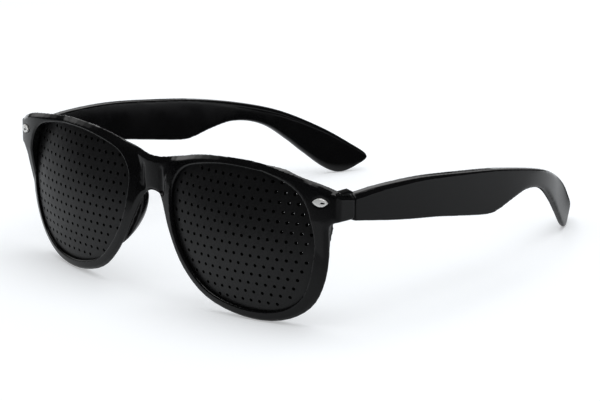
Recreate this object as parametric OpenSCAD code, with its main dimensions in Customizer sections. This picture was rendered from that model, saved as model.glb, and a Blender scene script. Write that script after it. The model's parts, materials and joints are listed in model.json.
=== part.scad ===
// Pinhole glasses: a moulded one-piece front, two perforated curved lenses and
// two folding temples on three-knuckle metal hinges.
//
// The shape is drawn level, seen from its front: X to the wearer's left, Y back
// towards the ears, Z up. Zero is the foremost point of the rims. stand() then
// leans it back until rims and temple tips touch the ground together.

/* [Front] */
// Width of one lens opening
lens_w = 54; // [50:0.5:56]
// Height of one lens opening
lens_h = 45; // [40:0.5:48]
// Gap between the two lens openings
bridge_w = 20; // [17:0.5:24]
// Width of the rim below and beside a lens
rim_w = 3.2; // [2.4:0.1:4.5]
// Width that the rim gains up to its end piece
rim_flare = 1.2; // [0:0.1:2]
// Height of the brow above the middle of a lens
brow_h = 2.4; // [1.2:0.1:5]
// Depth of the front from face to back
rim_depth = 3.6; // [3.4:0.1:5]
// Radius of the ball that each rim's face follows
rim_r = 78; // [70:1:95]
// Distance of each ball's centre from the middle of the front
crest_x = 25; // [20:1:32]
// Height of the bridge above the middle of the lenses
bridge_top = 19.6; // [15:0.2:20]
// Height of the nose arch above the middle of the lenses
arch_top = 8.2; // [4:0.2:10]
// Bevel along the outer edge of the rims
edge_bevel = 0.8; // [0.3:0.1:1.2]
// Bevel along the top of the brow and the end pieces
brow_bevel = 1.4; // [0.3:0.1:1.8]
// Bevel along the lens openings
opening_bevel = 0.5; // [0.2:0.1:0.8]
// Taper of the rims' outer walls towards the back, as width lost per depth
back_taper = 0.8; // [0.4:0.05:1]

/* [End pieces] */
// Depth that the rims gain behind the end pieces, to reach behind the lens's corner
corner_depth = 2.3; // [2:0.1:3.5]
// Width of an end piece beside its lens opening
end_w = 8.5; // [7.5:0.5:11]
// Height of an end piece at its corner
end_h = 9.1; // [8:0.1:11]
// Height of an end piece's top above the middle of the lenses
end_top = 18.7; // [17.5:0.1:20]
// Distance of the corner behind the front's foremost point
corner_back = 12.3; // [11:0.1:15]
// Radius of an end piece's curved face
end_r = 50; // [40:1:70]
// Turn of the end piece's face at its corner, in degrees
end_turn = 29; // [24:1:34]
// Distance of the seam with the temple behind the foremost point
seam_y = 19.6; // [18:0.2:22]

/* [Lenses] */
// Thickness of a lens
lens_t = 1.2; // [1:0.1:1.4]
// Radius of a lens's front face
lens_r = 84; // [80:1:100]
// Depth of a lens's face behind the rim at the foremost point
lens_recess = 1.8; // [1.5:0.1:2]
// Depth of the groove that holds a lens
groove_depth = 0.8; // [0.5:0.1:1.2]
// Clearance of a lens in its groove
groove_clearance = 0.05; // [0.02:0.01:0.1]
// Diameter of a pinhole
hole_d = 1.0; // [0.8:0.05:1.4]
// Distance between pinholes in a row, and between rows
hole_pitch = 3.0; // [2.6:0.1:4]
// Least distance of a pinhole's centre from the edge of the opening
hole_margin = 1.0; // [0.9:0.1:4]

/* [Nose pads] */
// Length of a nose pad
pad_l = 23; // [18:0.5:24]
// Width of a nose pad
pad_w = 8.5; // [6:0.5:9]
// Thickness of a nose pad
pad_t = 3; // [2.4:0.1:3.6]

/* [Temples] */
// Length of a temple from seam to tip, measured straight back
temple_l = 138; // [125:1:145]
// Thickness of a temple
temple_t = 3.8; // [3.2:0.1:4.6]
// Height of a temple at the seam
temple_h = 8.2; // [7.5:0.1:9.5]
// Radius of the temple's gentle bow beside the head
bow_r = 500; // [350:10:900]
// Radius of the tail's inward curl
curl_r = 150; // [110:5:180]
// Gap between temple and end piece when open
seam_gap = 0.15; // [0.1:0.05:0.3]

/* [Hinges] */
// Diameter of the knuckles
knuckle_d = 3.0; // [2.6:0.1:3.4]
// Height of one knuckle
knuckle_h = 1.7; // [1.3:0.1:2]
// Gap between knuckles
knuckle_gap = 0.1; // [0.05:0.05:0.2]
// Diameter of the screw's shank
screw_d = 1.2; // [1:0.1:1.5]
// Running clearance round the screw
screw_clearance = 0.05; // [0.02:0.01:0.08]
// Thickness of a hinge leaf
leaf_t = 0.9; // [0.7:0.1:1.1]
// Height of a hinge leaf
leaf_h = 5.4; // [5.2:0.2:6]

/* [Ornaments] */
// Width of the almond-shaped stud on an end piece
stud_w = 5.0; // [4:0.2:6]
// Height of the stud
stud_h = 2.6; // [2.2:0.2:3.4]

/* [Hidden] */

$fn = 96;
// Facets of the large arcs that shape the temples and the front
arc_fn = 720;
// Steps between two key points of a smooth outline
steps = 4;
// Reach of cutting tools past what they cut
far = 40;
// Reach of bevel cutters past the edge that they bevel
over = 0.15;

lens_x = bridge_w / 2 + lens_w / 2;
brow_top = lens_h / 2 + brow_h;
end_x = bridge_w / 2 + lens_w + end_w;
end_bottom = end_top - end_h;
corner_r = 1.0;
// Depth of the outer wall in front of its taper, reach of the taper's cutter behind the
// face, and least wall outside a lens's groove
wall_front = 1.1;
taper_reach = 9;
groove_wall = 0.8;

// Axis of the cylinder that an end piece's face follows
end_axis = [end_x - end_r * sin(end_turn), corner_back + end_r * cos(end_turn)];
// Below the end piece its face falls back to the rim's: a plane through one point of it
fall_tilt = 11;
fall_turn = 0.7 * end_turn;
fall_point = [end_axis[0] + end_r * sin(fall_turn), end_axis[1] - end_r * cos(fall_turn), end_bottom];
// Cylinder that fills the valley between the rims at the bridge
bridge_r = 30;
bridge_front = 3.4;
// Depth of an end piece from its side inwards, and how far its top falls that way
end_inner_w = 8;
end_inner_x = end_x - end_inner_w;
end_fall = 2.6;
// Place of the lowest key under an end piece, from its side and its bottom
neck = [3.3, 1.7];

// Lens opening, as shares of its half width and half height
lens_keys = [[1.00, 0.20], [0.94, 0.61], [0.76, 0.85], [0.43, 0.96],
             [-0.07, 1.00], [-0.46, 0.95], [-0.80, 0.83], [-0.97, 0.61],
             [-1.00, 0.33], [-0.92, -0.12], [-0.72, -0.53], [-0.42, -0.85],
             [0.04, -1.00], [0.48, -0.97], [0.78, -0.76], [0.93, -0.40]];
// First and last key of the stretch where the rim has its plain width
rim_first = 9;
rim_last = 16;

// Shift of each lens's pinhole grid from the middle of the lens
left_grid = [0.2, 1.5];
right_grid = [-0.6, -1.0];

// Temple, as [share of its length, height above its middle line at the seam]
temple_top_keys = [[0.094, 4.6], [0.225, 4.0], [0.37, 1.7], [0.52, -1.3], [0.66, -5.4],
                   [0.77, -10.1], [0.872, -17.3], [0.945, -24.2]];
temple_tip_keys = [[0.99, -29.6], [0.962, -33.1], [0.923, -35.2], [0.885, -33.0]];
temple_low_keys = [[0.835, -27.1], [0.784, -20.8], [0.732, -15.4], [0.677, -12.4],
                   [0.617, -11.4], [0.554, -12.7], [0.50, -14.3], [0.455, -14.5],
                   [0.353, -12.1], [0.263, -9.9], [0.141, -7.5]];
lowest_tip = temple_tip_keys[2];
// Places on the temple where the bow is widest and where the curl starts
bow_y = 30;
curl_y = 72;
// Bevel on the temple's outer top edge: its width at the seam, and the number of
// steps of the outline over which it fades out
temple_bevel = 1.4;
bevel_steps = 20;

// Step down from an end piece's top to the temple's
temple_step = 1.4;
temple_top = end_top - temple_step;
temple_line = temple_top - temple_h / 2;
hinge_line = temple_line - 0.3;
hinge_x = end_x - temple_t - knuckle_d / 2 - 0.25;
hinge_y = knuckle_d / 2 + 0.2;
stack_h = 3 * knuckle_h + 2 * knuckle_gap;
bore_d = screw_d + 2 * screw_clearance;
web_w = 1.8;
leaf_w = 3.4;
temple_leaf_l = 8.5;
head_d = 2.2;
head_h = 0.5;

stud_x = end_x - 5.2;
stud_drop = 2.8;
stud_z = end_top - stud_drop;
stud_proud = 0.5;
stud_sunk = 0.8;
stud_turn = asin((stud_x - end_axis[0]) / end_r);
fit_gap = 0.05;

bow_axis_x = end_x - sqrt(bow_r * bow_r - bow_y * bow_y);
curl_turn = asin((curl_y - bow_y) / bow_r);
curl_axis_x = bow_axis_x + (bow_r - curl_r) * cos(curl_turn);
curl_axis_y = bow_y + (bow_r - curl_r) * sin(curl_turn);
function temple_x(y) = y < curl_y
    ? bow_axis_x + sqrt(bow_r * bow_r - (y - bow_y) * (y - bow_y))
    : curl_axis_x + sqrt(curl_r * curl_r - (y - curl_axis_y) * (y - curl_axis_y));

// Curve through the inner points of a list, with the outer two as its guides
function blend(a, b, c, d, t) =
    0.5 * (2 * b + (c - a) * t + (2 * a - 5 * b + 4 * c - d) * t * t
           + (3 * b - a - 3 * c + d) * t * t * t);
function open_curve(k) =
    [for (i = [1:len(k) - 3]) for (s = [0:steps - 1])
        blend(k[i - 1], k[i], k[i + 1], k[i + 2], s / steps)];
function closed_curve(k) =
    let (n = len(k))
    [for (i = [0:n - 1]) for (s = [0:steps - 1])
        blend(k[(i + n - 1) % n], k[i], k[(i + 1) % n], k[(i + 2) % n], s / steps)];

// Outline moved outwards by d; its points run anticlockwise
function unit(v) = v / norm(v);
corner_step = 30;
function corner(middle, from, to) =
    [for (a = [from:corner_step:to]) middle + corner_r * [cos(a), sin(a)]];
function outward(p, i) =
    let (n = len(p), t = unit(p[(i + 1) % n] - p[(i + n - 1) % n])) [t[1], -t[0]];
function grown(p, d) = [for (i = [0:len(p) - 1]) p[i] + d * outward(p, i)];
function mirrored(p) = [for (i = [len(p) - 1:-1:0]) [-p[i][0], p[i][1]]];

// Is a point inside an outline?
function crossings(p, q) =
    let (n = len(p))
    [for (i = [0:n - 1])
        let (a = p[i], b = p[(i + 1) % n])
        if ((a[1] > q[1]) != (b[1] > q[1])
            && q[0] < a[0] + (q[1] - a[1]) / (b[1] - a[1]) * (b[0] - a[0])) 1];
function inside(p, q) = len(crossings(p, q)) % 2 == 1;

// Depth of the front's face at a place
function rim_face(x, z) =
    rim_r - sqrt(rim_r * rim_r - (abs(x) - crest_x) * (abs(x) - crest_x) - z * z);
function end_front(x) = end_axis[1] - sqrt(end_r * end_r - pow(abs(x) - end_axis[0], 2));
function end_fall_face(x, z) =
    fall_point[1] + (abs(x) - fall_point[0]) * tan(fall_turn)
    - (z - fall_point[2]) * tan(fall_tilt) / cos(fall_turn);
function end_face(x, z) = max(end_front(x), end_fall_face(x, z));
function bridge_face(x) =
    bridge_front + bridge_r - sqrt(bridge_r * bridge_r - x * x);
function face(x, z) =
    min(rim_face(x, z), abs(x) < bridge_w / 2 ? bridge_face(x) : end_face(x, z));

opening = closed_curve([for (k = lens_keys) [lens_x + k[0] * lens_w / 2, k[1] * lens_h / 2]]);
rim_keys = [for (i = [rim_first:rim_last])
    let (j = (i * steps) % len(opening), t = (i - rim_first) / (rim_last - rim_first))
        opening[j] + (rim_w + rim_flare * pow(t, 3)) * outward(opening, j)];
arch_keys = [[-0.13 * bridge_w, arch_top - 0.4], [0, arch_top], [0.12 * bridge_w, arch_top - 0.5],
             [0.21 * bridge_w, arch_top - 2.1], [0.30 * bridge_w, arch_top - 5.2]];
end_keys = [[end_x - neck[0], end_bottom - neck[1]], [end_x - corner_r, end_bottom],
            [end_x + corner_r, end_bottom]];
brow_keys = [[end_x + end_w, end_top - 3.5], [end_x, end_top],
             [lens_x + lens_w / 2, end_top + 0.52 * (brow_top - end_top)],
             [lens_x + 0.28 * lens_w, brow_top - 0.15 * (brow_top - end_top)],
             [lens_x, brow_top],
             [lens_x - 0.28 * lens_w, bridge_top + 0.8 * (brow_top - bridge_top)],
             [bridge_w / 2, bridge_top + 0.3 * (brow_top - bridge_top)],
             [0, bridge_top], [-bridge_w / 2, bridge_top + 0.3 * (brow_top - bridge_top)]];
low_curve = open_curve(concat(arch_keys, rim_keys, end_keys));
end_curve = concat(corner([end_x - corner_r, end_bottom + corner_r], -90, 0),
                   corner([end_x - corner_r, end_top - corner_r + over], 0, 90 - corner_step));
brow_curve = [for (p = open_curve(brow_keys)) if (p[0] < end_x - corner_r) p];
half_outline = concat(low_curve, end_curve, brow_curve, [[0, bridge_top]]);
outline = concat(half_outline,
                 [for (p = mirrored(half_outline)) if (p[0] < -0.001) p]);

// The side outline of a temple
temple_side = let (l = temple_l, h = temple_h / 2,
                   k = concat(temple_top_keys, temple_tip_keys, temple_low_keys))
    concat(open_curve(concat([[-0.1 * l, h], [seam_gap, h]], [for (p = k) [p[0] * l, p[1]]],
                             [[seam_gap, -h], [-0.1 * l, -h + 2]])),
           [[seam_gap, -h]]);

// Ground: it touches the lowest point of the rims and the temple tips
rim_low = min([for (p = low_curve) p[1]]);
ground_x = [for (p = low_curve) if (p[1] == rim_low) p[0]][0];
rim_low_y = rim_face(ground_x, rim_low) + wall_front;
tip_low = temple_line + lowest_tip[1];
tip_low_y = seam_y + lowest_tip[0] * temple_l;
lean = atan((tip_low - rim_low) / (tip_low_y - rim_low_y));
ground_z = rim_low_y * sin(lean) - rim_low * cos(lean);
middle_y = (seam_y + temple_l) / 2 * cos(lean) - 1.2;

module stand() {
    translate([0, -middle_y, ground_z])
        rotate([-lean, 0, 0])
            children();
}

module at_seam(z = hinge_line) {
    translate([0, seam_y, z])
        children();
}

module each_side(side) {
    mirror([side < 0 ? 1 : 0, 0, 0])
        children();
}

// Straight back along Y, as far as the seam with the temples
module straight_back(points) {
    translate([0, seam_y, 0])
        rotate([90, 0, 0])
            linear_extrude(seam_y + far)
                polygon(points);
}

// Body swept through equal rings of points, either closed on itself or with two ends
module swept(rings, closed = true) {
    n = len(rings);
    m = len(rings[0]);
    sides = [for (i = [0:n - (closed ? 1 : 2)]) for (k = [0:m - 1])
        let (a = i * m + k, b = i * m + (k + 1) % m,
             c = ((i + 1) % n) * m + (k + 1) % m, d = ((i + 1) % n) * m + k)
        each [[a, b, c], [a, c, d]]];
    ends = closed ? [] : [[for (k = [m - 1:-1:0]) k], [for (k = [0:m - 1]) (n - 1) * m + k]];
    polyhedron([for (r = rings) each r], concat(sides, ends), 4);
}

// Ring at one point of an outline on the front's face; each corner of the section is
// [distance outwards, depth behind the face]
function ring(points, i, section) =
    [for (c = section)
        let (p = points[i] + c[0] * outward(points, i))
        [p[0], face(p[0], p[1]) + c[1], p[1]]];

// Bevel at a point of the outline: it grows from the end pieces' bottom up to their
// top, and at their rounded corners it stays within the rounding
function bevel_at(p) =
    edge_bevel + (brow_bevel - edge_bevel) * min(1, max(0, (p[1] - end_bottom) / end_h));
function bevel_reach(p) =
    abs(p[0]) < end_x - 1.2 * corner_r ? bevel_at(p) + over : 0.8 * corner_r;

module outer_bevel() {
    swept([for (i = [0:len(outline) - 1])
        let (p = outline[i], c = bevel_at(p))
            ring(outline, i, [[over, c + over], [over, -over], [-bevel_reach(p), -over]])]);
}

// Bevel along the outer top edge of an end piece, back to the temple's
module side_bevel() {
    front_y = corner_back - far / 10;
    back_y = seam_y + over;
    fall = (end_top - temple_top) / (seam_y - corner_back);
    c = temple_bevel;
    swept([for (y = [front_y, back_y])
               let (z = end_top - fall * (y - corner_back))
               [[end_x + over, y, z - c - over], [end_x + over, y, z + over],
                [end_x - c - over, y, z + over]]],
          closed = false);
}

module opening_bevel_ring() {
    c = opening_bevel;
    section = [[-over, c + over], [c + over, -over], [-over, -over]];
    swept([for (i = [0:len(opening) - 1]) ring(opening, i, section)]);
}

// Width between the outline and a lens's groove, less the wall that stays beside it
function room(i) =
    min([for (q = opening) norm([abs(outline[i][0]), outline[i][1]] - q)])
    - groove_depth - groove_clearance - groove_wall;

// Section of the cutter that tapers a wall: at the outline it starts behind the face's
// straight edge, runs inwards as far as there is room, and then straight back
function taper_ring(i) =
    let (p = outline[i], n = outward(outline, i), y = face(p[0], p[1]),
         w = max(over, min(back_taper * (rim_depth - wall_front), room(i))))
    [for (c = [[over, taper_reach], [over, wall_front],
               [-w, wall_front + w / back_taper], [-w, taper_reach]])
        [p[0] + c[0] * n[0], y + c[1], p[1] + c[0] * n[1]]];

// Cutter that tapers the outer walls, everywhere but at the end pieces
module wall_taper() {
    n = len(outline);
    brow_first = len(low_curve) + len(end_curve);
    brow_last = len(half_outline) + len(brow_curve) - 1;
    swept([for (i = [brow_first:brow_last]) taper_ring(i)], closed = false);
    for (side = [-1, 1])
        each_side(side)
            swept([for (i = [-3:len(low_curve) - 1]) taper_ring((i + n) % n)],
                  closed = false);
}

// All that lies behind the moulded face, or behind a depth under it, with a depth of
// its own at the end pieces
module behind_face(depth = 0, end_depth = 0) {
    for (side = [-1, 1])
        each_side(side) {
            translate([crest_x, rim_r, 0])
                sphere(rim_r - depth, $fn = arc_fn / 4);
            intersection() {
                translate([end_axis[0], end_axis[1], -far])
                    cylinder(r = end_r - end_depth, h = 2 * far, $fn = arc_fn / 2);
                translate(fall_point)
                    rotate([fall_tilt, 0, fall_turn])
                        translate([-far, end_depth, -far])
                            cube(2 * far);
            }
        }
    translate([0, bridge_front + bridge_r, -far])
        cylinder(r = bridge_r - depth, h = 2 * far);
}

// The two rims with the bridge and the brow between them
module rims() {
    difference() {
        intersection() {
            straight_back(outline);
            behind_face();
        }
        behind_face(rim_depth, rim_depth + corner_depth);
        wall_taper();
    }
}

// The end pieces run back to the temples; their tops fall towards the back and the inside
module end_pieces() {
    root_x = lens_x + lens_w / 2 - 5;
    crest = end_x - temple_t;
    section = [[root_x, end_bottom], [end_x + 1, end_bottom], [end_x + 1, end_top + 1],
               [crest, end_top + 1], [crest, end_top], [end_inner_x, end_top - end_fall],
               [root_x, end_top - 2 * end_fall]];
    plan = [[root_x, -far], [end_x + 1, -far], [end_x + 1, seam_y], [end_inner_x, seam_y]];
    profile = [[-far, end_bottom], [seam_y, end_bottom], [seam_y, temple_top],
               [corner_back, end_top], [-far, end_top]];
    intersection() {
        straight_back(outline);
        behind_face();
        rotate([90, 0, 90])
            linear_extrude(2 * end_x + far, center = true)
                polygon(profile);
        for (side = [-1, 1])
            each_side(side)
                intersection() {
                    straight_back(section);
                    translate([0, 0, -far])
                        linear_extrude(2 * far)
                            polygon(plan);
                }
    }
}

// The space of a lens and its edge, larger all round by a clearance
module lens_blank(clearance) {
    intersection() {
        straight_back(grown(opening, groove_depth + clearance));
        difference() {
            translate([crest_x, lens_recess + lens_r, 0])
                sphere(lens_r + clearance, $fn = arc_fn / 4);
            translate([crest_x, lens_recess + lens_r, 0])
                sphere(lens_r - lens_t - clearance, $fn = arc_fn / 4);
        }
    }
}

// A pad with a crowned face, grown out of the rim behind the lens along its whole front
module nose_pad() {
    turn = 30;
    splay = 25;
    crown_r = 24;
    pad_x = bridge_w / 2 + 0.8;
    pad_z = -4;
    pad_y = rim_face(pad_x, pad_z) + rim_depth + 1.7;
    root = pad_w / 2 + 1.5;
    intersection() {
        translate([crest_x, lens_recess + lens_r, 0])
            sphere(lens_r - lens_t - groove_clearance, $fn = arc_fn / 4);
        translate([pad_x, pad_y, pad_z])
            rotate([0, -turn, 0])
                rotate([0, 0, -splay])
                    intersection() {
                        rotate([90, 0, 90])
                            linear_extrude(pad_t, center = true)
                                union() {
                                    for (end = [-1, 1])
                                        translate([0, end * (pad_l - pad_w) / 2])
                                            circle(d = pad_w);
                                    square([pad_w, pad_l - pad_w], center = true);
                                    translate([-root, -pad_l / 2])
                                        square([root, pad_l]);
                                }
                        translate([crown_r - pad_t / 2, 0, 0])
                            sphere(crown_r);
                    }
    }
}

// Almond outline between two arcs
module almond(w, h) {
    r = (w * w + h * h) / (4 * h);
    intersection() {
        translate([0, r - h / 2])
            circle(r);
        translate([0, h / 2 - r])
            circle(r);
    }
}

module stud_shape(gap) {
    translate([stud_x, end_face(stud_x, stud_z), stud_z])
        rotate([90, 0, stud_turn])
            translate([0, 0, -stud_sunk - gap])
                linear_extrude(stud_sunk + stud_proud + gap)
                    almond(stud_w + 2 * gap, stud_h + 2 * gap);
}

// Plate of a hinge leaf, larger all round by a gap
module front_plate(gap) {
    translate([hinge_x - leaf_w / 2 - gap, -leaf_t - gap, -leaf_h / 2 - gap])
        cube([leaf_w + 2 * gap, leaf_t + gap, leaf_h + 2 * gap]);
}

module temple_plate(gap) {
    translate([end_x - temple_t - 0.2, hinge_y - web_w / 2 - gap, -leaf_h / 2 - gap])
        cube([leaf_t + 0.2 + gap, temple_leaf_l + 2 * gap, leaf_h + 2 * gap]);
}

module knuckle(z) {
    translate([hinge_x, hinge_y, z - knuckle_h / 2])
        cylinder(d = knuckle_d, h = knuckle_h);
}

module bore() {
    translate([hinge_x, hinge_y, -stack_h])
        cylinder(d = bore_d, h = 2 * stack_h);
}

module front_half_cuts() {
    straight_back(opening);
    lens_blank(groove_clearance);
    opening_bevel_ring();
    stud_shape(fit_gap);
    at_seam()
        front_plate(fit_gap);
}

module front_frame() {
    color([0.03, 0.03, 0.035])
        stand() {
            difference() {
                union() {
                    rims();
                    end_pieces();
                }
                outer_bevel();
                for (side = [-1, 1])
                    each_side(side) {
                        front_half_cuts();
                        side_bevel();
                    }
            }
            for (side = [-1, 1])
                each_side(side)
                    nose_pad();
        }
}

// Rows of pinholes, each row half a step along from the one above
module pinholes(shift) {
    limit = grown(opening, -hole_margin);
    reach = ceil(lens_w / hole_pitch);
    for (row = [-reach:reach])
        for (i = [-reach:reach]) {
            p = [lens_x + shift[0] + (i + (row % 2 == 0 ? 0 : 0.5)) * hole_pitch,
                 shift[1] + row * hole_pitch];
            if (inside(limit, p))
                translate([p[0], far, p[1]])
                    rotate([90, 0, 0])
                        cylinder(d = hole_d, h = 2 * far, $fn = 24);
        }
}

module lens(side, shift) {
    color([0.08, 0.08, 0.085])
        stand()
            each_side(side)
                difference() {
                    lens_blank(0);
                    pinholes(shift);
                }
}

module left_lens() {
    lens(1, left_grid);
}

module right_lens() {
    lens(-1, right_grid);
}

module stud(side) {
    color([0.8, 0.8, 0.8])
        stand()
            each_side(side)
                stud_shape(0);
}

module left_stud() {
    stud(1);
}

module right_stud() {
    stud(-1);
}

module front_leaf(side) {
    color([0.7, 0.7, 0.7])
        stand()
            each_side(side)
                at_seam()
                    difference() {
                        union() {
                            front_plate(0);
                            for (end = [-1, 1]) {
                                z = end * (knuckle_h + knuckle_gap);
                                knuckle(z);
                                translate([hinge_x - web_w / 2, -leaf_t / 2, z - knuckle_h / 2])
                                    cube([web_w, hinge_y + leaf_t / 2, knuckle_h]);
                            }
                        }
                        bore();
                    }
}

module left_front_leaf() {
    front_leaf(1);
}

module right_front_leaf() {
    front_leaf(-1);
}

module hinge_screw(side) {
    color([0.75, 0.75, 0.75])
        stand()
            each_side(side)
                at_seam()
                    translate([hinge_x, hinge_y, -stack_h / 2]) {
                        cylinder(d = screw_d, h = stack_h + head_h / 2);
                        translate([0, 0, stack_h])
                            cylinder(d = head_d, h = head_h);
                    }
}

module left_hinge_screw() {
    hinge_screw(1);
}

module right_hinge_screw() {
    hinge_screw(-1);
}

// Band between two arcs, seen from above: the bow, then the tighter curl. They meet
// on the line through both centres
module temple_band() {
    cut = 2 * bow_r;
    translate([curl_axis_x, curl_axis_y])
        rotate(curl_turn) {
            intersection() {
                translate([curl_r - bow_r, 0])
                    difference() {
                        circle(bow_r, $fn = 4 * arc_fn);
                        circle(bow_r - temple_t, $fn = 4 * arc_fn);
                    }
                translate([-cut, -cut])
                    square([2 * cut, cut]);
            }
            intersection() {
                difference() {
                    circle(curl_r, $fn = arc_fn);
                    circle(curl_r - temple_t, $fn = arc_fn);
                }
                square([curl_r + far, curl_r + far]);
            }
        }
}

// Cutter for the bevel along the outer top edge of a temple; it fades out towards the ear
module temple_bevel_cutter() {
    points = concat([[-1, temple_h / 2]], [for (i = [0:bevel_steps]) temple_side[i]]);
    swept([for (i = [0:len(points) - 1])
               let (p = points[i], x = temple_x(p[0]),
                    b = temple_bevel * (1 - i / len(points)))
               [[x + over, p[0], p[1] - b - over], [x + over, p[0], p[1] + over],
                [x - b - over, p[0], p[1] + over]]],
          closed = false);
}

module temple(side) {
    color([0.03, 0.03, 0.035])
        stand()
            each_side(side)
                difference() {
                    at_seam(temple_line)
                        difference() {
                            intersection() {
                                translate([0, 0, -far])
                                    linear_extrude(2 * far)
                                        temple_band();
                                rotate([90, 0, 90])
                                    linear_extrude(end_x + far)
                                        polygon(temple_side);
                            }
                            temple_bevel_cutter();
                        }
                    at_seam()
                        temple_plate(fit_gap);
                }
}

module left_temple() {
    temple(1);
}

module right_temple() {
    temple(-1);
}

module temple_leaf(side) {
    color([0.7, 0.7, 0.7])
        stand()
            each_side(side)
                at_seam()
                    difference() {
                        union() {
                            temple_plate(0);
                            knuckle(0);
                            translate([hinge_x, hinge_y - web_w / 2, -knuckle_h / 2])
                                cube([end_x - temple_t - hinge_x + 0.2, web_w, knuckle_h]);
                        }
                        bore();
                    }
}

module left_temple_leaf() {
    temple_leaf(1);
}

module right_temple_leaf() {
    temple_leaf(-1);
}

front_frame();
left_lens();
right_lens();
left_stud();
right_stud();
left_front_leaf();
right_front_leaf();
left_hinge_screw();
right_hinge_screw();
left_temple();
right_temple();
left_temple_leaf();
right_temple_leaf();
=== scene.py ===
"""Folding pinhole glasses, standing open on a pale table."""
import json
import math

import bmesh
import bpy
from mathutils import Matrix, Vector


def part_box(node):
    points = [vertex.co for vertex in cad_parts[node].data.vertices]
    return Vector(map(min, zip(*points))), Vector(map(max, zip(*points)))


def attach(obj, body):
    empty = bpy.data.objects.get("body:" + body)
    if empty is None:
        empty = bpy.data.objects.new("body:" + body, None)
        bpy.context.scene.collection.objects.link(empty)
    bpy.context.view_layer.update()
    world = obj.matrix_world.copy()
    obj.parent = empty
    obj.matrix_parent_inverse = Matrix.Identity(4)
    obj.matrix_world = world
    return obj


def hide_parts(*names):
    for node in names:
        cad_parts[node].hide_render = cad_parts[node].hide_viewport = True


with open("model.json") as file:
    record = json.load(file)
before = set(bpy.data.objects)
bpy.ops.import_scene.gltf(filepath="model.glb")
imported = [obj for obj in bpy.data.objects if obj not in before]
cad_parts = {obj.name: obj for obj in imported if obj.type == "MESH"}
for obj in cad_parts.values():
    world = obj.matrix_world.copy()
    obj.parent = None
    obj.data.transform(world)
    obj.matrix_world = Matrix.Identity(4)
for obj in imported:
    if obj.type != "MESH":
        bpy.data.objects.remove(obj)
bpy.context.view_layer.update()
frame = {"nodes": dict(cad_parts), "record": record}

MM = 0.001

# The camera's place and axes, in metres in the frame, and its long lens
CAMERA_PLACE = (0.629101, -0.65804, 0.28288)
CAMERA_RIGHT = (0.72283844, 0.690796, -0.01747756)
CAMERA_UP = (-0.18325301, 0.21601742, 0.95903848)
CAMERA_BACK = (0.66627541, -0.69002707, 0.28273614)
CAMERA_NEAR = 0.05
IMAGE_WIDTH = 600.0
FOCAL_PIXELS = 2821.56
SENSOR_WIDTH = 36.0
FOCAL_LENGTH = SENSOR_WIDTH * FOCAL_PIXELS / IMAGE_WIDTH

# Dark and light tone of each finish
BLACK_TONES = ((0.0022, 0.0022, 0.0024), (0.0036, 0.0036, 0.0039))
LENS_TONES = ((0.003, 0.003, 0.0033), (0.008, 0.008, 0.0085))
# Near-black tones of the painted shade inside the pinholes, along the lens's edge and in a stud's
# engraved line
PAINTED_SHADE_TONES = ((0.0005, 0.0005, 0.0005), (0.0015, 0.0015, 0.0016))
STUD_TONES = ((0.9, 0.9, 0.88), (0.97, 0.97, 0.95))
HINGE_TONES = ((0.48, 0.47, 0.45), (0.66, 0.65, 0.62))
FRAME_IOR = 1.49
LENS_IOR = 1.5
# Low specular of the near-black painted shade
PAINTED_SHADE_SPECULAR = 0.1
STUD_METALLIC = 0.5

# Fine mesh of the moulded pieces, and the smoothing passes that round their edges
MOULD_VOXEL = 0.28 * MM
SMOOTHING = 0.5
FRONT_PASSES = 5
TEMPLE_PASSES = 9

# The bridge between the rims: its level middle, and the flutes at both sides of it
BRIDGE_HALF = 6.4 * MM
BRIDGE_SOFT_FROM = 5.2 * MM
BRIDGE_BOTTOM = 34.6 * MM
BRIDGE_TOP = 44.4 * MM
BRIDGE_RISE = 0.14
BRIDGE_RADIUS = 30 * MM
BRIDGE_EASE = 0.7 * MM
BRIDGE_FACING = -0.3
FLUTE_PLACE = 4.1 * MM
FLUTE_HALF = 1.4 * MM
FLUTE_DEPTH = 0.4 * MM
FLUTE_TOP = 42.0 * MM

# Corner between a rim's outer wall and the end piece above it
END_CORNER = (68.8 * MM, -63.5 * MM, 34.0 * MM)
CORNER_REACH = 5 * MM
CORNER_PASSES = 60

# A temple's tail gets thinner and rounder towards its tip
TAIL_START = 10 * MM
TAIL_THINNING = 0.6
TAIL_PASSES = 110
TAIL_SOFTENING = 1.6
TAIL_STEPS = 24
TAIL_AVERAGES = 3
TIP_DROP_POWER = 4

# Pinholes open out towards the front and narrow to the back
HOLE_FLARE = 0.04 * MM
HOLE_NARROWING = 0.06 * MM
HOLE_REACH = 2 * MM
HOLE_WALL_FACING = 0.35
WELD = 0.001 * MM
SHARP_FROM = math.radians(30)

# An almond stud: the crown over its face, the depth of its edge, and the line engraved in it
STUD_CROWN = 0.45 * MM
STUD_FALL = 0.98
STUD_DEPTH = 0.6 * MM
STUD_FACING = -0.5
STUD_FACE_SLACK = 0.05 * MM
STUD_RINGS = 40
STUD_TURNS = 120
LINE_END = 0.75
LINE_WIDTH = 0.3 * MM
LINE_DEPTH = 0.2 * MM
# Where the engraved line is sunk deeper than this, its faces take the painted shade
LINE_DARK_FROM = LINE_DEPTH / 3

# The table's painted reflection, seen only in the gloss: levels from in front of the glasses to
# behind them
TABLE_HALF = 4.0
TABLE_COLOUR = (0.77, 0.8, 0.83, 1.0)
TABLE_GLOW = 0.3
TABLE_REACH = 0.25
TABLE_LEVELS = [(0.0, 0.03), (0.04, 0.15), (0.12, 0.25), (0.2, 0.42),
                (0.26, 0.45), (0.42, 0.6), (0.6, 0.8), (0.74, 1.0)]
# The painted reflection grows darker towards the left
SIDE_FADE_FROM = 0.02
SIDE_FADE_TO = 0.1
SIDE_LEVEL = 0.36

# Painted shade in the table's reflection: an oval between the temples
SHADE_DEPTH = 0.06
SHADE_HALF_WIDTH = 0.05
SHADE_HALF_DEPTH = 0.12
SHADE_INSIDE = 0.8
SHADE_OUTSIDE = 1.15
SHADE_LEVEL = 0.01

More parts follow.
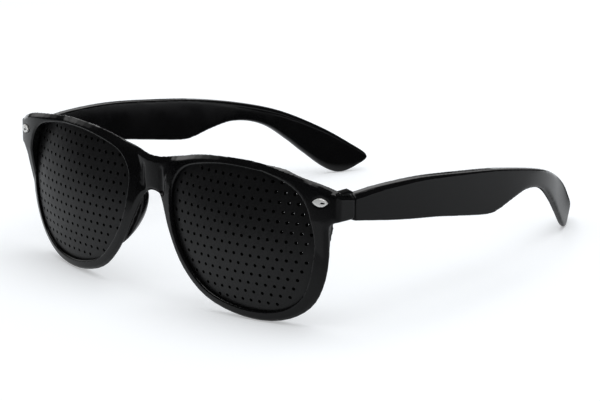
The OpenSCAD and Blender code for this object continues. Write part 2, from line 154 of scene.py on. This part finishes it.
# The studio in the gloss: a bright wall behind and to the right, lightest half way up
WALL_WAY = (-0.8, 0.6, 0.0)
WALL_FROM = 0.5
WALL_TO = 0.8
ROOM_LEVEL = 0.03
WALL_LEVELS = [(0.06, 0.05), (0.25, 0.7), (0.4, 1.0), (0.8, 0.6)]
WHITE = (1.0, 1.0, 1.0, 1.0)
DAYLIGHT = 0.5

# The overhead lamp
LAMP_PLACE = (0.1, 0.1, 1.4)
LAMP_SIDE = 1.4
LAMP_POWER = 12.0


# Camera

def make_camera():
    """Look down on the left end piece from in front, through a long lens."""
    camera_data = bpy.data.cameras.new("camera")
    camera_data.sensor_width = SENSOR_WIDTH
    camera_data.lens = FOCAL_LENGTH
    camera_data.clip_start = CAMERA_NEAR
    camera = bpy.data.objects.new("camera", camera_data)
    turned = Matrix((CAMERA_RIGHT, CAMERA_UP, CAMERA_BACK)).transposed().to_4x4()
    camera.matrix_world = Matrix.Translation(CAMERA_PLACE) @ turned
    bpy.context.collection.objects.link(camera)
    bpy.context.scene.camera = camera


# Node helpers

def new_material(name):
    """An empty material, its node tree and its output."""
    material = bpy.data.materials.new(name)
    material.use_nodes = True
    tree = material.node_tree
    tree.nodes.clear()
    return material, tree, tree.nodes.new("ShaderNodeOutputMaterial")


def object_coordinates(tree):
    return tree.nodes.new("ShaderNodeTexCoord").outputs["Object"]


def noise(tree, coordinates, scale, detail=3.0, roughness=0.5):
    """Soft noise over the surface, from 0 to 1."""
    node = tree.nodes.new("ShaderNodeTexNoise")
    node.inputs["Scale"].default_value = scale
    node.inputs["Detail"].default_value = detail
    node.inputs["Roughness"].default_value = roughness
    tree.links.new(coordinates, node.inputs["Vector"])
    return node.outputs["Fac"]


def spread(tree, value, low, high, to_low=0.0, to_high=1.0):
    """Carry a value from one range over to another, and hold it at both ends."""
    node = tree.nodes.new("ShaderNodeMapRange")
    node.inputs["From Min"].default_value = low
    node.inputs["From Max"].default_value = high
    node.inputs["To Min"].default_value = to_low
    node.inputs["To Max"].default_value = to_high
    tree.links.new(value, node.inputs["Value"])
    return node.outputs["Result"]


def mix_node(tree, blend_type="MIX"):
    """A node that mixes two colours."""
    node = tree.nodes.new("ShaderNodeMix")
    node.data_type = "RGBA"
    node.blend_type = blend_type
    return node


def grey_steps(tree, value, steps):
    """A grey that passes through (place, level) steps as the value grows."""
    node = tree.nodes.new("ShaderNodeValToRGB")
    ramp = node.color_ramp
    while len(ramp.elements) < len(steps):
        ramp.elements.new(0.5)
    for element, (place, level) in zip(ramp.elements, steps):
        element.position = place
        element.color = (level, level, level, 1.0)
    tree.links.new(value, node.inputs["Fac"])
    return node.outputs["Color"]


def share_along(tree, vector, direction):
    """How far a vector reaches along a direction."""
    node = tree.nodes.new("ShaderNodeVectorMath")
    node.operation = "DOT_PRODUCT"
    tree.links.new(vector, node.inputs[0])
    node.inputs[1].default_value = direction
    return node.outputs["Value"]


def split(tree, vector):
    """The three parts of a vector."""
    node = tree.nodes.new("ShaderNodeSeparateXYZ")
    tree.links.new(vector, node.inputs["Vector"])
    return node.outputs


def product(tree, first, second):
    node = tree.nodes.new("ShaderNodeMath")
    node.operation = "MULTIPLY"
    tree.links.new(first, node.inputs[0])
    tree.links.new(second, node.inputs[1])
    return node.outputs["Value"]


def scaled_colour(tree, colour, level):
    node = tree.nodes.new("ShaderNodeVectorMath")
    node.operation = "SCALE"
    tree.links.new(colour, node.inputs[0])
    tree.links.new(level, node.inputs["Scale"])
    return node.outputs["Vector"]


# Finishes

def make_handling_group():
    """Faint smears from handling in the roughness, shared by all the finishes."""
    group = bpy.data.node_groups.new("handling_marks", "ShaderNodeTree")
    face = group.interface
    face.new_socket("Coordinates", in_out="INPUT", socket_type="NodeSocketVector")
    for name, value in (("Smear Size", 60.0), ("Base Roughness", 0.1), ("Smear Amount", 0.05)):
        socket = face.new_socket(name, in_out="INPUT", socket_type="NodeSocketFloat")
        socket.default_value = value
    face.new_socket("Roughness", in_out="OUTPUT", socket_type="NodeSocketFloat")
    start = group.nodes.new("NodeGroupInput")
    end = group.nodes.new("NodeGroupOutput")
    smears = group.nodes.new("ShaderNodeTexNoise")
    smears.inputs["Detail"].default_value = 4.0
    smears.inputs["Distortion"].default_value = 0.6
    group.links.new(start.outputs["Coordinates"], smears.inputs["Vector"])
    group.links.new(start.outputs["Smear Size"], smears.inputs["Scale"])
    smeared = spread(group, smears.outputs["Fac"], low=0.42, high=0.68)
    level = group.nodes.new("ShaderNodeMath")
    level.operation = "MULTIPLY_ADD"
    group.links.new(smeared, level.inputs[0])
    group.links.new(start.outputs["Smear Amount"], level.inputs[1])
    group.links.new(start.outputs["Base Roughness"], level.inputs[2])
    group.links.new(level.outputs["Value"], end.inputs["Roughness"])
    return group


class Finish:
    """A material under way: its nodes, its Principled shader and the handling marks on it."""

    def __init__(self, name, handling, smear_size, base_roughness, smear_amount):
        self.material, self.tree, output = new_material(name)
        self.shader = self.tree.nodes.new("ShaderNodeBsdfPrincipled")
        self.tree.links.new(self.shader.outputs["BSDF"], output.inputs["Surface"])
        self.place = object_coordinates(self.tree)
        marks = self.tree.nodes.new("ShaderNodeGroup")
        marks.node_tree = handling
        self.tree.links.new(self.place, marks.inputs["Coordinates"])
        marks.inputs["Smear Size"].default_value = smear_size
        marks.inputs["Base Roughness"].default_value = base_roughness
        marks.inputs["Smear Amount"].default_value = smear_amount
        self.tree.links.new(marks.outputs["Roughness"], self.shader.inputs["Roughness"])

    def noise(self, **values):
        return noise(self.tree, self.place, **values)

    def tone(self, factor, tones):
        """Let the colour wander between a dark and a light tone."""
        mixed = mix_node(self.tree)
        mixed.inputs["A"].default_value = (*tones[0], 1.0)
        mixed.inputs["B"].default_value = (*tones[1], 1.0)
        self.tree.links.new(factor, mixed.inputs["Factor"])
        self.tree.links.new(mixed.outputs["Result"], self.shader.inputs["Base Color"])

    def relief(self, height, strength, distance):
        """Raise and lower the surface in the shading."""
        node = self.tree.nodes.new("ShaderNodeBump")
        node.inputs["Strength"].default_value = strength
        node.inputs["Distance"].default_value = distance
        self.tree.links.new(height, node.inputs["Height"])
        self.tree.links.new(node.outputs["Normal"], self.shader.inputs["Normal"])


def polished_black_plastic(handling):
    """Gloss black of the front and temples, with the faint flow of moulded plastic."""
    finish = Finish("polished_black_plastic", handling,
                    smear_size=90.0, base_roughness=0.07, smear_amount=0.07)
    finish.tone(finish.noise(scale=240.0), BLACK_TONES)
    finish.shader.inputs["IOR"].default_value = FRAME_IOR
    finish.relief(finish.noise(scale=55.0, detail=1.0), strength=0.12, distance=0.4 * MM)
    return finish.material


def satin_lens_plastic(handling):
    """Satin black of the lens sheets, with a fine grain."""
    finish = Finish("satin_lens_plastic", handling,
                    smear_size=70.0, base_roughness=0.34, smear_amount=0.06)
    grain = finish.noise(scale=2600.0, detail=2.0, roughness=0.6)
    finish.tone(spread(finish.tree, grain, low=0.35, high=0.7), LENS_TONES)
    finish.shader.inputs["IOR"].default_value = LENS_IOR
    finish.relief(grain, strength=0.25, distance=0.06 * MM)
    return finish.material


def polished_metal(handling):
    """Bright plated metal of the studs."""
    finish = Finish("polished_metal", handling,
                    smear_size=400.0, base_roughness=0.27, smear_amount=0.06)
    finish.tone(finish.noise(scale=900.0), STUD_TONES)
    finish.shader.inputs["Metallic"].default_value = STUD_METALLIC
    return finish.material


def painted_recess_shade(handling):
    """Matt, as punched sheet is inside its holes, and near black: painted shade inside the lens's
    holes and along its edge, and inside a stud's engraved line.
    """
    finish = Finish("painted_recess_shade", handling,
                    smear_size=900.0, base_roughness=0.75, smear_amount=0.2)
    grain = finish.noise(scale=5200.0, detail=2.0, roughness=0.6)
    finish.tone(grain, PAINTED_SHADE_TONES)
    finish.shader.inputs["Specular IOR Level"].default_value = PAINTED_SHADE_SPECULAR
    finish.relief(grain, strength=0.4, distance=0.05 * MM)
    return finish.material


def hinge_metal(handling):
    """Brushed metal of the hinge leaves and screws."""
    finish = Finish("hinge_metal", handling,
                    smear_size=500.0, base_roughness=0.28, smear_amount=0.14)
    scratches = finish.noise(scale=1500.0, detail=4.0, roughness=0.7)
    finish.tone(scratches, HINGE_TONES)
    finish.shader.inputs["Metallic"].default_value = 1.0
    finish.relief(scratches, strength=0.15, distance=0.05 * MM)
    return finish.material


# Pieces

def copy_of(node, name):
    """A new object with a copy of a node's mesh, still without a finish."""
    piece = bpy.data.objects.new(name, frame["nodes"][node].data.copy())
    bpy.context.collection.objects.link(piece)
    piece.data.materials.clear()
    return piece


def stand_for(piece, node, finishes):
    """Let a piece take the place of a node, on the node's body and in its finishes."""
    for finish in finishes:
        piece.data.materials.append(finish)
    bodies = frame["record"]["behaviour"]["bodies"]
    body = next(name for name, members in bodies.items() if node in members)
    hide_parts(node)
    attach(piece, body)


def apply_modifiers(piece):
    """Turn what the modifiers show into the piece's own mesh."""
    graph = bpy.context.evaluated_depsgraph_get()
    finished = bpy.data.meshes.new_from_object(piece.evaluated_get(graph))
    piece.modifiers.clear()
    piece.data = finished


def mesh_finely(piece):
    """Give a moulded piece an even, fine mesh."""
    mesh = piece.modifiers.new("fine_mesh", "REMESH")
    mesh.mode = "VOXEL"
    mesh.voxel_size = MOULD_VOXEL
    mesh.use_smooth_shade = True
    apply_modifiers(piece)


def round_edges(piece, passes, group=""):
    """Round the edges of a whole piece, or of a vertex group, more with each pass."""
    rounding = piece.modifiers.new("rounding", "SMOOTH")
    rounding.factor = SMOOTHING
    rounding.iterations = passes
    rounding.vertex_group = group
    apply_modifiers(piece)


def eased(value, start, end):
    """0 at the start, 1 at the end, and a soft rise between them."""
    share = min(1.0, max(0.0, (value - start) / (end - start)))
    return share * share * (3 - 2 * share)


def flute_depth(across, height):
    """Depth of the flute beside the bridge's middle."""
    aside = abs(across - FLUTE_PLACE) / FLUTE_HALF
    if aside > 1.0:
        return 0.0
    hollow = 0.5 + 0.5 * math.cos(math.pi * aside)
    return FLUTE_DEPTH * hollow * (1 - eased(height, FLUTE_TOP, BRIDGE_TOP))


def shape_bridge(mesh):
    """Level the bridge's middle between the rims, and sink a flute at both sides of it."""
    middle = min(vertex.co.y for vertex in mesh.vertices
                 if abs(vertex.co.x) < MM and BRIDGE_BOTTOM < vertex.co.z < BRIDGE_TOP)
    for vertex in mesh.vertices:
        across = abs(vertex.co.x)
        height = vertex.co.z
        top = BRIDGE_TOP + BRIDGE_RISE * across
        share = 1 - eased(across, BRIDGE_SOFT_FROM, BRIDGE_HALF)
        share *= eased(height, BRIDGE_BOTTOM - BRIDGE_EASE, BRIDGE_BOTTOM)
        share *= 1 - eased(height, top, top + BRIDGE_EASE)
        if share > 0 and vertex.normal.y < BRIDGE_FACING:
            sunk = middle + across * across / (2 * BRIDGE_RADIUS) + flute_depth(across, height)
            vertex.co.y += share * max(0.0, sunk - vertex.co.y)


def blend_end_corners(front):
    """Blend the rims' outer walls softly into the end pieces above them."""
    group = front.vertex_groups.new(name="end_corners")
    corner = Vector(END_CORNER)
    for vertex in front.data.vertices:
        place = Vector((abs(vertex.co.x), vertex.co.y, vertex.co.z))
        share = 1 - eased((place - corner).length, CORNER_REACH / 2, CORNER_REACH)
        if share > 0:
            group.add([vertex.index], share, "REPLACE")
    round_edges(front, CORNER_PASSES, group.name)


def make_moulded_front(finish):
    """The front in one moulding: rims, bridge, end pieces and nose pads."""
    front = copy_of("front_frame", "moulded_front")
    mesh_finely(front)
    shape_bridge(front.data)
    round_edges(front, FRONT_PASSES)
    blend_end_corners(front)
    stand_for(front, "front_frame", [finish])


def tail_share(vertex, tip):
    """How far along a temple's tail a point lies: 0 where it starts, 1 at its tip."""
    return max(0.0, (vertex.co.y - TAIL_START) / (tip - TAIL_START))


def inner_side(mesh, tip):
    """Distance of a temple's inner side from the middle plane, in even steps along its tail."""
    sides = [math.inf] * (TAIL_STEPS + 1)
    for vertex in mesh.vertices:
        step = round((vertex.co.y - TAIL_START) / (tip - TAIL_START) * TAIL_STEPS)
        if 0 <= step <= TAIL_STEPS:
            sides[step] = min(sides[step], abs(vertex.co.x))
    for turn in range(TAIL_AVERAGES):
        averages = [(a + b + c) / 3 for a, b, c in zip(sides, sides[1:], sides[2:])]
        sides = [sides[0], *averages, sides[-1]]
    return sides


def thin_tail(mesh, tip):
    """Take the thickness off the outer side of a temple's tail, more towards its tip."""
    sides = inner_side(mesh, tip)
    for vertex in mesh.vertices:
        share = tail_share(vertex, tip)
        if share > 0:
            low = min(int(share * TAIL_STEPS), TAIL_STEPS - 1)
            inner = sides[low] + (sides[low + 1] - sides[low]) * (share * TAIL_STEPS - low)
            width = abs(vertex.co.x) - inner
            thinned = inner + width * (1.0 - TAIL_THINNING * share * share)
            vertex.co.x = math.copysign(thinned, vertex.co.x)


def round_tail(temple, tip):
    """Round a temple's tail more and more towards its tip, which stays on the table."""
    lowest = min(vertex.co.z for vertex in temple.data.vertices)
    group = temple.vertex_groups.new(name="tail")
    for vertex in temple.data.vertices:
        share = tail_share(vertex, tip)
        if share > 0:
            group.add([vertex.index], min(1.0, TAIL_SOFTENING * share), "REPLACE")
    round_edges(temple, TAIL_PASSES, group.name)
    lift = min(vertex.co.z for vertex in temple.data.vertices) - lowest
    for vertex in temple.data.vertices:
        vertex.co.z -= lift * min(1.0, tail_share(vertex, tip)) ** TIP_DROP_POWER


def make_moulded_temple(side, finish):
    """A temple with rounded edges and a tail that tapers to its tip."""
    temple = copy_of(side + "_temple", side + "_moulded_temple")
    mesh_finely(temple)
    tip = max(vertex.co.y for vertex in temple.data.vertices)
    thin_tail(temple.data, tip)
    round_edges(temple, TEMPLE_PASSES)
    round_tail(temple, tip)
    stand_for(temple, side + "_temple", [finish])


def hole_walls(shape):
    """The walls of the pinholes and of the lens's edge: groups of joined faces that look sideways."""
    walls = dict.fromkeys(face for face in shape.faces if abs(face.normal.y) < HOLE_WALL_FACING)
    groups = []
    while walls:
        group = [next(iter(walls))]
        del walls[group[0]]
        for face in group:
            for edge in face.edges:
                for other in edge.link_faces:
                    if other in walls:
                        del walls[other]
                        group.append(other)
        groups.append(group)
    return groups


def flare_hole(corners):
    """Widen a pinhole at its front and narrow it at its back, but leave the lens's edge alone."""
    middle = sum((corner.co for corner in corners), Vector()) / len(corners)
    reach = max((corner.co - middle).length for corner in corners)
    if reach > HOLE_REACH:
        return
    for corner in corners:
        aside = Vector((corner.co.x - middle.x, 0.0, corner.co.z - middle.z)).normalized()
        if corner.co.y < middle.y:
            corner.co += HOLE_FLARE * aside
        else:
            corner.co -= HOLE_NARROWING * aside


def make_punched_lens(side, finish, wall_shade_paint):
    """A lens whose pinholes flare at the front and narrow at the back, as punched sheet does."""
    lens = copy_of(side + "_lens", side + "_punched_lens")
    mesh = lens.data
    shape = bmesh.new()
    shape.from_mesh(mesh)
    bmesh.ops.remove_doubles(shape, verts=shape.verts, dist=WELD)
    for group in hole_walls(shape):
        # Walls of the pinholes and of the lens's edge take the near-black painted shade
        for face in group:
            face.material_index = 1
        flare_hole(dict.fromkeys(corner for face in group for corner in face.verts))
    shape.to_mesh(mesh)
    shape.free()
    if "custom_normal" in mesh.attributes:
        mesh.attributes.remove(mesh.attributes["custom_normal"])
    mesh.shade_smooth()
    mesh.set_sharp_from_angle(angle=SHARP_FROM)
    stand_for(lens, side + "_lens", [finish, wall_shade_paint])


def stud_axes(node):
    """The middle of a stud's face, its directions along, across and outwards, and its length."""
    mesh = frame["nodes"][node].data
    forward = [face for face in mesh.polygons if face.normal.y < STUD_FACING]
    widest = max(forward, key=lambda face: face.area)
    outwards = widest.normal.copy()
    level = max(outwards.dot(vertex.co) for vertex in mesh.vertices) - STUD_FACE_SLACK
    rim = [vertex.co for vertex in mesh.vertices if outwards.dot(vertex.co) > level]
    left = min(rim, key=lambda corner: corner.x)
    right = max(rim, key=lambda corner: corner.x)
    along = (right - left).normalized()
    across = outwards.cross(along).normalized()
    return (left + right) / 2, along, across, outwards, (right - left).length


def engraved(along, across, half):
    """Depth of the short line engraved from a stud's middle towards its end."""
    share = along / half
    if not 0.0 < share < LINE_END:
        return 0.0
    run = math.sin(math.pi * share / LINE_END)
    return LINE_DEPTH * run * math.exp(-(across / LINE_WIDTH) ** 2)


def almond_point(half, half_height, angle):
    """A point of the almond outline, which is two arcs that meet in sharp ends."""
    radius = (half * half + half_height * half_height) / (2 * half_height)
    along = half * math.cos(angle)
    across = math.sqrt(radius * radius - along * along) - (radius - half_height)
    return along, math.copysign(across, math.sin(angle))


def make_crowned_stud(side, finish, line_shade_paint):
    """An almond-shaped stud with a crowned face, a rounded edge and an engraved line."""
    node = side + "_stud"
    middle, along, across, outwards, length = stud_axes(node)
    low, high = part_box(node)
    half = length / 2
    half_height = (high.z - low.z) / 2
    shape = bmesh.new()
    crown = shape.verts.new(middle + outwards * STUD_CROWN)
    line = set()
    rows = []
    for ring in range(1, STUD_RINGS + 2):
        share = min(ring, STUD_RINGS) / STUD_RINGS
        row = []
        for turn in range(STUD_TURNS):
            a, b = almond_point(half, half_height, 2 * math.pi * turn / STUD_TURNS)
            sunk = engraved(a * share, b * share, half)
            rise = STUD_CROWN * math.sqrt(1 - STUD_FALL * share ** 4) - sunk
            if ring > STUD_RINGS:
                rise = -STUD_DEPTH
            place = middle + along * a * share + across * b * share + outwards * rise
            corner = shape.verts.new(place)
            row.append(corner)
            if sunk > LINE_DARK_FROM:
                line.add(corner)
        rows.append(row)
    for turn in range(STUD_TURNS):
        following = (turn + 1) % STUD_TURNS
        shape.faces.new((crown, rows[0][turn], rows[0][following]))
        for inner, outer in zip(rows, rows[1:]):
            shape.faces.new((inner[turn], outer[turn], outer[following], inner[following]))
    shape.faces.new(rows[-1])
    # Faces of the engraved line take the near-black painted shade
    for face in shape.faces:
        if all(corner in line for corner in face.verts):
            face.material_index = 1
    bmesh.ops.recalc_face_normals(shape, faces=shape.faces)
    mesh = bpy.data.meshes.new(side + "_crowned_stud")
    shape.to_mesh(mesh)
    shape.free()
    mesh.shade_smooth()
    stud = bpy.data.objects.new(side + "_crowned_stud", mesh)
    bpy.context.collection.objects.link(stud)
    stand_for(stud, node, [finish, line_shade_paint])


def dress_cad_nodes():
    """Give each node its finish, and the moulded, punched and crowned pieces their forms."""
    handling = make_handling_group()
    black = polished_black_plastic(handling)
    satin = satin_lens_plastic(handling)
    bright = polished_metal(handling)
    # Near-black paint for the shade in the pinholes, along the lens edges and in the studs' engraved
    # lines
    shade_paint = painted_recess_shade(handling)
    finishes = {
        "gloss_black_plastic": black,
        "matte_black_plastic": satin,
        "polished_metal": bright,
        "hinge_metal": hinge_metal(handling),
    }
    slots = {part["node"]: part["material_slot"] for part in frame["record"]["subparts"]}
    for name, node in frame["nodes"].items():
        for slot in node.material_slots:
            slot.material = finishes[slots[name]]
    make_moulded_front(black)
    for side in ("left", "right"):
        make_moulded_temple(side, black)
        make_punched_lens(side, satin, shade_paint)
        make_crowned_stud(side, bright, shade_paint)


# Surroundings

def painted_table_reflection(tree):
    """Painted reflection of the table in the gloss: lighter behind, darker on the left, and a painted
    shade between the temples.
    """
    place = object_coordinates(tree)
    parts = split(tree, place)
    depth = spread(tree, parts["Y"], low=-TABLE_REACH, high=TABLE_REACH)
    by_depth = grey_steps(tree, depth, TABLE_LEVELS)
    by_side = spread(tree, parts["X"], SIDE_FADE_FROM, SIDE_FADE_TO, 1.0, SIDE_LEVEL)
    # Painted shade: a dark oval in the table's reflection between the temples
    oval = tree.nodes.new("ShaderNodeVectorMath")
    oval.operation = "MULTIPLY_ADD"
    tree.links.new(place, oval.inputs[0])
    oval.inputs[1].default_value = (1 / SHADE_HALF_WIDTH, 1 / SHADE_HALF_DEPTH, 0.0)
    oval.inputs[2].default_value = (0.0, -SHADE_DEPTH / SHADE_HALF_DEPTH, 0.0)
    reach = tree.nodes.new("ShaderNodeVectorMath")
    reach.operation = "LENGTH"
    tree.links.new(oval.outputs["Vector"], reach.inputs[0])
    shade = spread(tree, reach.outputs["Value"], SHADE_INSIDE, SHADE_OUTSIDE, SHADE_LEVEL, 1.0)
    return scaled_colour(tree, by_depth, product(tree, by_side, shade))


def make_table():
    """A pale table that takes the shadows, and is white to the camera otherwise."""
    half = TABLE_HALF
    mesh = bpy.data.meshes.new("table")
    corners = [(-half, -half, 0), (half, -half, 0), (half, half, 0), (-half, half, 0)]
    mesh.from_pydata(corners, [], [(0, 1, 2, 3)])
    table = bpy.data.objects.new("table", mesh)
    bpy.context.collection.objects.link(table)
    material, tree, output = new_material("pale_table")
    rays = tree.nodes.new("ShaderNodeLightPath")
    seen = mix_node(tree)
    seen.inputs["A"].default_value = WHITE
    # Glossy rays see the painted reflection of the table instead of white
    tree.links.new(rays.outputs["Is Glossy Ray"], seen.inputs["Factor"])
    tree.links.new(painted_table_reflection(tree), seen.inputs["B"])
    tint = mix_node(tree, "MULTIPLY")
    tint.inputs["Factor"].default_value = 1.0
    tint.inputs["A"].default_value = TABLE_COLOUR
    tree.links.new(seen.outputs["Result"], tint.inputs["B"])
    paint = tree.nodes.new("ShaderNodeBsdfDiffuse")
    tree.links.new(tint.outputs["Result"], paint.inputs["Color"])
    glow = tree.nodes.new("ShaderNodeEmission")
    tree.links.new(seen.outputs["Result"], glow.inputs["Color"])
    glow.inputs["Strength"].default_value = TABLE_GLOW
    both = tree.nodes.new("ShaderNodeAddShader")
    tree.links.new(paint.outputs["BSDF"], both.inputs[0])
    tree.links.new(glow.outputs["Emission"], both.inputs[1])
    tree.links.new(both.outputs["Shader"], output.inputs["Surface"])
    mesh.materials.append(material)


def background(tree, strength=1.0):
    """A white background of some strength."""
    node = tree.nodes.new("ShaderNodeBackground")
    node.inputs["Color"].default_value = WHITE
    node.inputs["Strength"].default_value = strength
    return node


def make_world():
    """White to the camera, plain for light, and a studio with a bright wall in the gloss."""
    world = bpy.data.worlds.new("studio")
    world.use_nodes = True
    tree = world.node_tree
    tree.nodes.clear()
    output = tree.nodes.new("ShaderNodeOutputWorld")
    direction = tree.nodes.new("ShaderNodeTexCoord").outputs["Generated"]
    to_wall = share_along(tree, direction, WALL_WAY)
    on_wall = spread(tree, to_wall, WALL_FROM, WALL_TO, ROOM_LEVEL, 1.0)
    by_height = grey_steps(tree, split(tree, direction)["Z"], WALL_LEVELS)
    studio = background(tree)
    tree.links.new(scaled_colour(tree, by_height, on_wall), studio.inputs["Color"])
    rays = tree.nodes.new("ShaderNodeLightPath")
    lit = tree.nodes.new("ShaderNodeMixShader")
    tree.links.new(rays.outputs["Is Glossy Ray"], lit.inputs["Fac"])
    tree.links.new(background(tree, DAYLIGHT).outputs["Background"], lit.inputs[1])
    tree.links.new(studio.outputs["Background"], lit.inputs[2])
    shown = tree.nodes.new("ShaderNodeMixShader")
    tree.links.new(rays.outputs["Is Camera Ray"], shown.inputs["Fac"])
    tree.links.new(lit.outputs["Shader"], shown.inputs[1])
    tree.links.new(background(tree).outputs["Background"], shown.inputs[2])
    tree.links.new(shown.outputs["Shader"], output.inputs["Surface"])
    bpy.context.scene.world = world


def make_lamp():
    """A large soft lamp over the glasses."""
    data = bpy.data.lights.new("overhead", "AREA")
    data.shape = "RECTANGLE"
    data.size = LAMP_SIDE
    data.size_y = LAMP_SIDE
    data.energy = LAMP_POWER
    lamp = bpy.data.objects.new("overhead", data)
    lamp.location = LAMP_PLACE
    lamp.rotation_euler = (-Vector(LAMP_PLACE)).to_track_quat("-Z", "Y").to_euler()
    bpy.context.collection.objects.link(lamp)


bpy.context.scene.view_settings.view_transform = "Standard"
make_camera()
make_world()
make_lamp()
make_table()
dress_cad_nodes()
